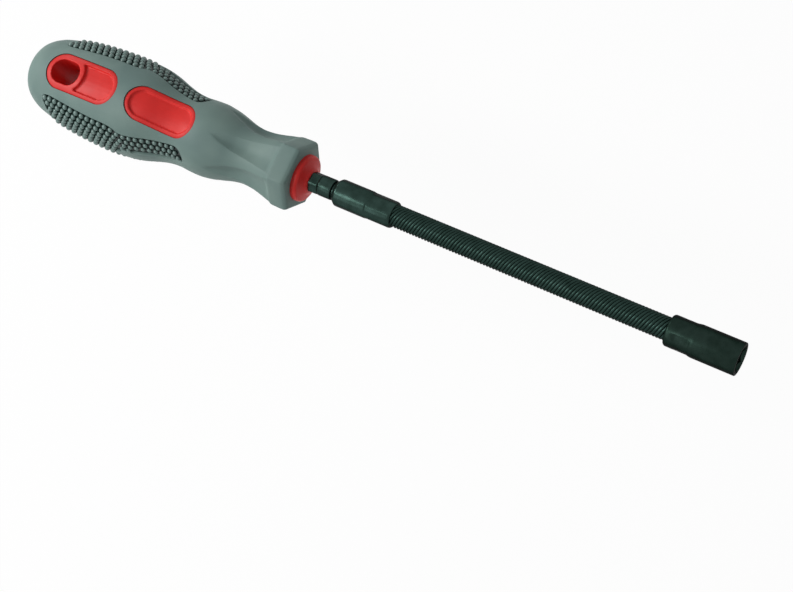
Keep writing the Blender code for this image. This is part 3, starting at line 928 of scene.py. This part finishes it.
@dataclass
class StuddedBands:
    """Studded bands in the recesses of the grip, with staggered round studs."""

    sink: float = 0.9  # of the sheet's top below the grip's skin
    depth: float = 1.8  # of its floor
    gap: float = 0.12
    leg_start: float = -70.0
    leg_fade: float = 10.0
    leg_sink: float = 0.34
    leg_tighter: float = 0.1
    pitch: float = 2.42
    rows: int = 6
    row_pitch: float = 2.0
    least_row: float = 0.45  # rows nearer the middle line than this share of a step drop out
    stud_radius: float = 1.07
    stud_rise: float = 0.46
    stud_foot: float = 0.2  # how far a stud reaches into the sheet
    border: float = 1.2
    spare: float = 0.85  # share of the border that a stud has to keep free
    first: float = -97.0
    last: float = -39.0
    finish: Finish = StudRubber()

    def build(self, side: Side) -> bpy.types.Object:
        """Models one band and dresses it.

        Args:
            side: long side of the grip.

        Returns:
            The band.
        """
        sheet = bar_over(f"sheet_{side.name}", BORDER.outline(self.gap), *side.span())
        cut(sheet, FORM.solid("sheet_top", self.sink, *BAND_SPAN), Cut.COMMON)
        cut(sheet, FORM.solid("sheet_floor", self.depth, *BAND_SPAN), Cut.AWAY)
        band = joined(f"studded_band_{side.name.lower()}", [sheet] + self.studs(side))
        self.mark_height(band)
        smooth(band, 50.0)
        dress(band, self.finish, "handle", [f"grip_band_{side.name.lower()}"])
        return band

    def spots(self) -> list[tuple[float, float]]:
        """Where the studs stand on the upper half of a band and on its middle line.

        Returns:
            Station and angle of every stud.
        """
        border = np.array([(x, FORM.radius(x) * math.radians(a)) for x, a in BORDER.ring()])
        steps = [self.first]
        while steps[-1] < self.last:
            steps.append(steps[-1] + self.pitch * self.size(steps[-1]) / 2)
        found = []
        for row in range(self.rows + 1):
            for station in steps[row % 2::2]:
                radius = FORM.radius(station)
                reach = math.radians(BORDER.outer(station)) * radius - self.border
                height = reach - row * max(reach / self.rows, self.row_pitch)
                if abs(height) < 0.01:
                    height = 0.0
                elif height < self.least_row * self.row_pitch:
                    continue
                if inside_by(border, np.array((station, height))) > self.border * self.spare:
                    found.append((station, math.degrees(height / radius)))
        return found

    def studs(self, side: Side) -> list[bpy.types.Object]:
        """One stud modelled, then copied to every spot of a side and its mirror place.

        Args:
            side: long side of the grip.

        Returns:
            The studs.
        """
        first = self.stud()
        centre = 0.0 if side is Side.LEFT else 180.0
        places = []
        for station, angle in self.spots():
            places.append((station, centre + angle))
            if angle > 0.0:
                places.append((station, centre - angle))
        made = []
        for station, angle in places:
            copy = twin(first)
            slope = FORM.radius(station + 0.5) - FORM.radius(station - 0.5)
            outward = polar(MIDDLE, 1.0, angle).normalized() - Vector((slope, 0, 0))
            outward.normalize()
            forward = Vector((1, 0, 0)) - outward * outward.x
            forward.normalize()
            basis = Matrix((forward, outward.cross(forward), outward)).transposed().to_4x4()
            size = self.size(station)
            place = Matrix.Translation(polar(station, self.floor(station), angle))
            copy.data.transform(place @ basis @ Matrix.Diagonal((size, size, size, 1.0)))
            made.append(copy)
        bpy.data.objects.remove(first, do_unlink=True)
        return made

    def leg_share(self, station: float) -> float:
        """0 in the wide part of a band, 1 in its forked legs."""
        return min(max((station - self.leg_start) / self.leg_fade, 0.0), 1.0)

    def size(self, station: float) -> float:
        """Size of the studs and their steps: a little smaller in the legs."""
        return 1.0 - self.leg_tighter * self.leg_share(station)

    def floor(self, station: float) -> float:
        """Radius at which the studs stand: lower in the legs, so that their tops stay level."""
        return FORM.radius(station) - self.sink - self.leg_sink * self.leg_share(station)

    def stud(self) -> bpy.types.Object:
        """One stud: the upper part of a ball, closed underneath.

        Returns:
            The stud at the origin, pointing up.
        """
        deselect_all()
        bpy.ops.mesh.primitive_uv_sphere_add(
            segments=12, ring_count=8, radius=self.stud_radius * MM
        )
        obj = bpy.context.object
        bpy.ops.object.mode_set(mode="EDIT")
        bpy.ops.mesh.select_all(action="SELECT")
        low = (0, 0, -(self.stud_rise + self.stud_foot) * MM)
        bpy.ops.mesh.bisect(plane_co=low, plane_no=(0, 0, 1), clear_inner=True, use_fill=True)
        bpy.ops.mesh.select_all(action="SELECT")
        bpy.ops.transform.translate(value=(0, 0, self.stud_rise * MM))
        deselect_all()
        return obj

    def mark_height(self, band: bpy.types.Object) -> None:
        """Writes each point's height over the sheet, as a share of a stud's height, for the
        painted shade that darkens the valleys.

        Args:
            band: the band that takes the stud_height attribute.
        """
        mesh = band.data
        attribute = mesh.attributes.new("stud_height", "FLOAT", "POINT")
        values = []
        for vertex in mesh.vertices:
            station = vertex.co.x / MM + MIDDLE
            radius = math.hypot(vertex.co.y, vertex.co.z) / MM
            full = (self.stud_rise + self.stud_radius) * self.size(station)
            sheet = self.leg_sink * self.leg_share(station)
            values.append((radius - self.floor(station) - sheet) / (full - sheet))
        attribute.data.foreach_set("value", np.clip(values, 0.0, 1.0).astype(np.float32))


@dataclass
class RedCore:
    """Hard red core where it shows: two window inserts and the front collar."""

    rear: tuple[float, float, float] = (-82.05, 29.66, 12.86)
    front: tuple[float, float, float] = (-50.45, 25.46, 12.06)
    sink: float = 0.32
    span: tuple[float, float, int] = (-107.0, -29.0, 100)  # of the solids that give the faces
    reach: float = 25.0
    faces: Profile = ((3.0, 25.0), (-25.0, -3.0))  # heights of the cutters for each face
    hole: tuple[float, float, float] = (-88.95, 11.7, 8.2)
    hole_reach: float = 28.0
    pocket: tuple[float, float] = (-87.0, -68.8)
    pocket_width: float = 9.7
    pocket_depth: float = 1.05
    ring_wall: float = 1.9
    dish_border: float = 1.55
    dish_depth: float = 0.75
    grain: float = 0.24
    passes: int = 9
    kept_faces: float = 0.4
    collar_profile: Profile = (
        (-3.0, 7.9), (1.2, 7.9), (1.6, 7.82), (1.95, 7.6), (2.15, 7.25), (2.25, 6.8),
        (2.4, 6.2), (2.65, 5.5), (3.0, 4.8), (3.45, 4.2), (3.75, 3.9), (3.85, 3.7), (3.85, 3.0),
    )
    finish: Finish = MouldedRed()

    def build(self) -> list[bpy.types.Object]:
        """Models the inserts and the collar and dresses them.

        Returns:
            The three pieces.
        """
        pieces = [self.rear_insert(), self.front_insert(), self.collar()]
        for piece in pieces:
            dress(piece, self.finish, "handle", ["handle_core"])
        return pieces

    def block(self, name: str, window: tuple[float, float, float]) -> bpy.types.Object:
        """A window-shaped block whose two faces follow the grip just below its skin.

        Args:
            name: name of the object.
            window: station of the middle, length and width.

        Returns:
            The block.
        """
        block = slot_bar(name, *window, -self.reach, self.reach)
        cut(block, FORM.solid("block_skin", self.sink, *self.span), Cut.COMMON)
        return block

    def sunk(self, tool: bpy.types.Object, depth: float) -> bpy.types.Object:
        """Keeps of a cutter only what lies above a floor the given depth below the face."""
        cut(tool, FORM.solid("floor", self.sink + depth, *self.span), Cut.AWAY)
        return tool

    def rear_insert(self) -> bpy.types.Object:
        """Rear insert: through hole with its ring wall, and a pocket on each face.

        Returns:
            The insert.
        """
        insert = self.block("rear_insert", self.rear)
        centre, length, width = self.hole
        start, end = self.pocket
        wall = self.ring_wall
        for low, high in self.faces:
            pocket = slot_bar(
                "pocket", (start + end) / 2, end - start, self.pocket_width, low, high
            )
            ring = slot_bar(
                "ring", centre, length + 2 * wall, width + 2 * wall, low - 1, high + 1
            )
            cut(pocket, ring, Cut.AWAY)
            cut(insert, self.sunk(pocket, self.pocket_depth), Cut.AWAY)
        hole = slot_bar("hole", centre, length, width, -self.hole_reach, self.hole_reach)
        cut(insert, hole, Cut.AWAY)
        soften(insert, self.grain, self.passes, self.kept_faces)
        return insert

    def front_insert(self) -> bpy.types.Object:
        """Front insert: a shallow dish inside a plain border on each face.

        Returns:
            The insert.
        """
        insert = self.block("front_insert", self.front)
        centre, length, width = self.front
        border = 2 * self.dish_border
        for low, high in self.faces:
            dish = slot_bar("dish", centre, length - border, width - border, low, high)
            cut(insert, self.sunk(dish, self.dish_depth), Cut.AWAY)
        soften(insert, self.grain, self.passes, self.kept_faces)
        return insert

    def collar(self) -> bpy.types.Object:
        """Front collar: a disc with a rounded edge and a low dome that closes on the shank."""
        collar = turned("front_collar", self.collar_profile)
        smooth(collar, 40.0)
        return collar


@dataclass
class SteelEnds:
    """Shank, rear ferrule and hex socket."""

    hex_flats: float = 6.3
    hex_span: tuple[float, float] = (-6.0, 7.5)
    hex_turn: float = -8.0
    blank_profile: Profile = ((-5.5, 3.48), (6.9, 3.48), (7.15, 3.2), (7.3, 3.0))
    neck_profile: Profile = (
        (6.8, 3.1), (7.15, 3.25), (7.4, 3.4), (7.7, 3.45), (11.75, 3.45), (12.0, 3.36),
        (12.1, 3.1), (12.15, 2.6), (13.2, 2.6), (14.3, 2.6),
    )
    ferrule_profile: Profile = (
        (13.0, 2.6), (13.0, 3.55), (13.1, 3.7), (14.1, 4.5), (14.3, 4.57), (14.6, 4.6),
        (25.3, 4.6), (25.5, 4.56), (25.75, 4.47), (26.0, 4.44), (34.1, 4.44),
        (34.5, 4.34), (34.8, 4.1), (34.9, 3.8), (34.9, 2.6),
    )
    socket_profile: Profile = (
        (130.0, 2.6), (130.0, 4.35), (130.1, 4.65), (130.35, 4.9), (130.75, 5.05),
        (137.4, 5.1), (138.0, 5.14), (138.5, 5.25), (138.9, 5.31), (139.3, 5.34), (153.0, 5.34),
        (153.12, 5.3), (153.2, 5.2),
    )
    socket_flats: float = 7.1
    socket_depth: float = 11.0
    lead_in: Profile = ((-1.0, 3.6), (0.2, 4.6))  # by its distance from the mouth
    ferrule_press: tuple[float, ...] = (24.3, 37.5, 4.2, 2.6)  # rear, front, height, ends
    socket_press: tuple[float, ...] = (132.2, 138.8, 4.9, 1.5)
    die_width: float = 12.0
    die_height: float = 6.0
    steel: Finish = BlackOxide()
    # the socket's darker colour is painted shade
    socket_steel: Finish = ShadedSocketOxide()

    def build(self) -> list[bpy.types.Object]:
        """Models the three steel pieces and dresses them.

        Returns:
            The shank, the ferrule and the socket.
        """
        pieces = [
            (self.shank(), self.steel, "handle", "drive_shank"),
            (self.ferrule(), self.steel, "handle", "rear_ferrule"),
            (self.socket(), self.socket_steel, "socket", "hex_socket"),
        ]
        for piece, finish, body, node in pieces:
            smooth(piece, 30.0)
            dress(piece, finish, body, [node])
        return [piece for piece, *_ in pieces]

    def shank(self) -> bpy.types.Object:
        """Shank: a chamfered hex stretch, a round neck and a groove before the ferrule.

        Returns:
            The shank.
        """
        corner = hex_corner(self.hex_flats)
        bar = turned("hex_bar", [(x, corner) for x in self.hex_span], 6, self.hex_turn)
        cut(bar, turned("hex_blank", self.blank_profile), Cut.COMMON)
        return joined("hex_shank", [bar, turned("neck", self.neck_profile)])

    def ferrule(self) -> bpy.types.Object:
        """Ferrule: chamfered rear, thick sleeve, and a crimped front with six pressed flats.

        Returns:
            The ferrule.
        """
        ferrule = turned("swaged_ferrule", self.ferrule_profile)
        for k in range(6):
            cut(ferrule, self.press(60.0 * k, *self.ferrule_press), Cut.AWAY)
        return ferrule

    def socket(self) -> bpy.types.Object:
        """Socket: crimped rear sleeve, round nose and a hex recess with a chamfered mouth.

        Returns:
            The socket.
        """
        socket = turned("clamp_socket", self.socket_profile)
        for k in range(6):
            cut(socket, self.press(60.0 * k + 30.0, *self.socket_press), Cut.AWAY)
        corner = hex_corner(self.socket_flats)
        ends = (SOCKET_MOUTH - self.socket_depth, SOCKET_MOUTH + 1)
        recess = turned("hex_recess", [(x, corner) for x in ends], 6, 30.0)
        lead_in = turned("lead_in", [(SOCKET_MOUTH + x, r) for x, r in self.lead_in], 64)
        cut(socket, recess, Cut.AWAY)
        cut(socket, lead_in, Cut.AWAY)
        return socket

    def press(
        self, angle: float, rear: float, front: float, height: float, ends: float
    ) -> bpy.types.Object:
        """A crimping die: a block with rounded ends that presses one flat.

        Args:
            angle: degrees from +Z about the axis.
            rear: station where the flat starts.
            front: station where it ends.
            height: distance of the flat from the axis.
            ends: radius of its rounded ends.

        Returns:
            The die.
        """
        deselect_all()
        middle = (across(rear) + across(front)) / 2
        up = (height + self.die_height / 2) * MM
        bpy.ops.mesh.primitive_cube_add(size=MM, location=(middle, 0, up))
        obj = bpy.context.object
        obj.scale = (front - rear, self.die_width, self.die_height)
        settle(obj)
        lowest = height * MM + 1e-6
        round_edges(obj, lambda a, b: abs(a.y - b.y) > MM and a.z < lowest, ends * MM, 8)
        obj.data.transform(Matrix.Rotation(math.radians(angle), 4, "X"))
        return obj


@dataclass
class WireShaft:
    """Flexible shaft: nine strands laid side by side, left-hand, over a drive core."""

    strands: int = 9
    lead: float = 10.0
    outer: float = 3.74
    wire: float = 1.02
    sides: int = 10
    steps_per_turn: int = 32
    overlap: float = 1.0  # of the shaft's ends into the ferrule and the socket
    core_share: float = 0.9  # share of the wire's thickness that stands clear of the core
    core_step: float = 0.9
    core_sides: int = 32
    finish: Finish = OiledWire()

    def station(self, index: float) -> float:
        """Station of the boundary before a segment, or within it for a half index."""
        return SHAFT_START + (SHAFT_END - SHAFT_START) * index / SEGMENTS

    def build(self) -> list[bpy.types.Object]:
        """Models every stretch: the first rides on the handle, the last on the socket, the rest
        on no body.

        Returns:
            The stretches, from the ferrule to the socket.
        """
        first = self.stretch("laid_wires_rear", SHAFT_START - self.overlap, self.station(0.5))
        dress(first, self.finish, "handle", ["outer_wires_00", "core_link_00"])
        made = [first]
        for k in range(1, SEGMENTS):
            rear, front = self.station(k - 0.5), self.station(k + 0.5)
            piece = self.stretch(f"laid_wires_{k:02d}", rear, front)
            dress(piece, self.finish, "", [f"outer_wires_{k:02d}", f"core_link_{k:02d}"])
            start, end = (across(rear), 0, 0), (across(front), 0, 0)
            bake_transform(piece)
            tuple(start)
            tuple(end)
            made.append(piece)
        front_end = SHAFT_END + self.overlap
        last = self.stretch("laid_wires_front", self.station(SEGMENTS - 0.5), front_end)
        dress(last, self.finish, "socket", [f"outer_wires_{SEGMENTS - 1:02d}"])
        return made + [last]

    def stretch(self, name: str, rear: float, front: float) -> bpy.types.Object:
        """One stretch of the shaft.

        Args:
            name: name of the object.
            rear: station where it starts.
            front: station where it ends.

        Returns:
            Nine strands and the core inside them, as one object.
        """
        length = front - rear
        mean = self.outer - self.wire / 2
        climb = math.atan(self.lead / (2 * math.pi * mean))
        deselect_all()
        bpy.ops.mesh.primitive_circle_add(vertices=self.sides, radius=self.wire / 2 * MM)
        obj = bpy.context.object
        obj.scale = (1 / math.cos(climb), 1, 1)
        obj.location = (across(rear), mean * MM, 0)
        settle(obj)
        start = -360.0 * (rear - SHAFT_START) / self.lead
        obj.data.transform(Matrix.Rotation(math.radians(start), 4, "X"))
        rings = [obj]
        for k in range(1, self.strands):
            copy = twin(obj)
            copy.data.transform(Matrix.Rotation(2 * math.pi * k / self.strands, 4, "X"))
            rings.append(copy)
        strands = joined(name, rings)
        screw = strands.modifiers.new("lay", "SCREW")
        screw.axis = "X"
        screw.angle = -2 * math.pi * length / self.lead
        screw.screw_offset = length * MM
        screw.steps = screw.render_steps = max(4, round(self.steps_per_turn * length / self.lead))
        screw.use_merge_vertices = False
        apply_modifiers(strands)
        take(strands)
        bpy.ops.object.mode_set(mode="EDIT")
        bpy.ops.mesh.select_all(action="SELECT")
        bpy.ops.mesh.fill_holes(sides=0)
        face_outwards()
        count = max(2, round(length / self.core_step))
        inner = self.outer - self.wire * self.core_share
        profile = [(rear + length * i / count, inner) for i in range(count + 1)]
        whole = joined(name, [strands, turned("core", profile, self.core_sides)])
        smooth(whole, 60.0)
        return whole


@dataclass(frozen=True)
class Lamp:
    """A square soft lamp that faces the world's origin: place and side in metres, watts."""

    name: str
    place: tuple[float, float, float]
    side: float
    power: float

    def build(self) -> None:
        """Hangs the lamp."""
        data = bpy.data.lights.new(self.name, "AREA")
        data.size = self.side
        data.energy = self.power
        lamp = bpy.data.objects.new(self.name, data)
        bpy.context.scene.collection.objects.link(lamp)
        lamp.location = self.place
        lamp.rotation_euler = (-Vector(self.place)).to_track_quat("-Z", "Y").to_euler()


@dataclass
class Studio:
    """Camera, lamps, world and floor."""

    focal: float = 1750.0  # in pixels
    width: int = 793
    sensor: float = 36.0
    along: tuple[float, float, float] = (0.8578, 0.3731, -0.3535)  # X as the camera sees it
    facing: tuple[float, float, float] = (-0.3242, -0.1410, -0.9355)  # Z before the roll
    roll: float = 5.5
    flange: tuple[float, float, float] = (-30.33, -38.52, 567.72)  # place of station 0
    floor_height: float = -96.0  # lower than the shaft's end in a full bend downward
    floor_side: float = 6.0  # in metres
    floor_tone: float = 0.93
    floor_glow: float = 0.93
    room_light: float = 0.27
    lamps: tuple[Lamp, ...] = (
        Lamp("key_lamp", (-0.78, -0.15, 0.62), 0.35, 5.4),
        Lamp("sheen_lamp", (-0.38, -0.42, 0.86), 0.3, 2.4),
        Lamp("fill_lamp", (-0.35, -0.75, 0.55), 0.4, 0.9),
        Lamp("glint_lamp", (-0.75, 0.5, 0.35), 0.12, 0.8),
    )

    def axes(self) -> tuple[np.ndarray, np.ndarray]:
        """The driver's axes and middle as the camera sees them.

        Returns:
            A matrix whose columns are the driver's X, Y and Z in camera terms (right, down,
            ahead), and the place of the driver's origin in metres.
        """
        along, facing = np.array(self.along), np.array(self.facing)
        along /= np.linalg.norm(along)
        facing -= along * (facing @ along)
        facing /= np.linalg.norm(facing)
        aside = np.cross(facing, along)
        turn = math.radians(self.roll)
        up = facing * math.cos(turn) + aside * math.sin(turn)
        left = aside * math.cos(turn) - facing * math.sin(turn)
        origin = np.array(self.flange) + MIDDLE * along
        return np.stack([along, left, up], axis=1), origin * MM

    def camera(self) -> None:
        """Puts the camera at the photograph's place."""
        turn, origin = self.axes()
        data = bpy.data.cameras.new("view_camera")
        data.sensor_width = self.sensor
        data.lens = self.focal / self.width * self.sensor
        data.clip_start = 0.01
        camera = bpy.data.objects.new("view_camera", data)
        bpy.context.scene.collection.objects.link(camera)
        basis = turn.T @ np.diag((1.0, -1.0, -1.0))
        matrix = Matrix(basis.tolist()).to_4x4()
        matrix.translation = Vector((-turn.T @ origin).tolist())
        camera.matrix_world = matrix
        bpy.context.scene.camera = camera

    def sees_white(self, material: bpy.types.Material) -> bpy.types.NodeSocket:
        """Tells whether a ray is one that sees the background.

        Args:
            material: material or world whose tree takes the nodes.

        Returns:
            A socket that is 1 for a camera, glossy or transmission ray.
        """
        path = add_node(material, "ShaderNodeLightPath")
        first = add_node(material, "ShaderNodeMath", {
            0: path.outputs["Is Camera Ray"], 1: path.outputs["Is Glossy Ray"],
        }, operation="MAXIMUM")
        both = add_node(material, "ShaderNodeMath", {
            0: first.outputs[0], 1: path.outputs["Is Transmission Ray"],
        }, operation="MAXIMUM")
        return both.outputs[0]

    def floor(self) -> None:
        """A pale floor under the driver, big enough for the camera's whole view."""
        deselect_all()
        height = self.floor_height * MM
        bpy.ops.mesh.primitive_plane_add(size=self.floor_side, location=(0, 0, height))
        floor = bpy.context.object
        floor.name = "studio_floor"
        material = bpy.data.materials.new("pale_floor")
        material.use_nodes = True
        shader = material.node_tree.nodes["Principled BSDF"]
        shader.inputs["Base Color"].default_value = (*[self.floor_tone] * 3, 1.0)
        shader.inputs["Roughness"].default_value = 0.9
        shader.inputs["Specular IOR Level"].default_value = 0.0
        glow = add_node(material, "ShaderNodeEmission", {"Strength": 1.0})
        share = add_node(material, "ShaderNodeMath", {
            0: self.sees_white(material), 1: self.floor_glow,
        }, operation="MULTIPLY")
        mix = add_node(material, "ShaderNodeMixShader", {
            0: share.outputs[0], 1: shader.outputs[0], 2: glow.outputs[0],
        })
        output = material.node_tree.nodes["Material Output"]
        material.node_tree.links.new(mix.outputs[0], output.inputs["Surface"])
        floor.data.materials.append(material)

    def world(self) -> None:
        """A white surround, dimmer for the light that it gives than for the eye."""
        world = bpy.data.worlds.new("white_room")
        bpy.context.scene.world = world
        world.use_nodes = True
        background = world.node_tree.nodes["Background"]
        background.inputs["Color"].default_value = (1.0, 1.0, 1.0, 1.0)
        strength = add_node(world, "ShaderNodeMapRange", {
            "Value": self.sees_white(world), "To Min": self.room_light, "To Max": 1.0,
        })
        world.node_tree.links.new(strength.outputs["Result"], background.inputs["Strength"])

    def build(self) -> None:
        """Sets up the whole studio."""
        bpy.context.scene.view_settings.view_transform = "Standard"
        self.camera()
        self.floor()
        self.world()
        for lamp in self.lamps:
            lamp.build()


def main() -> None:
    """Builds every sub-assembly in order, which logs each piece."""
    logging.basicConfig(level=logging.INFO, format="%(name)s: %(message)s")
    SoftGrip().build()
    for side in Side:
        StuddedBands().build(side)
    RedCore().build()
    SteelEnds().build()
    WireShaft().build()
    Studio().build()


if __name__ == "__main__":
    main()
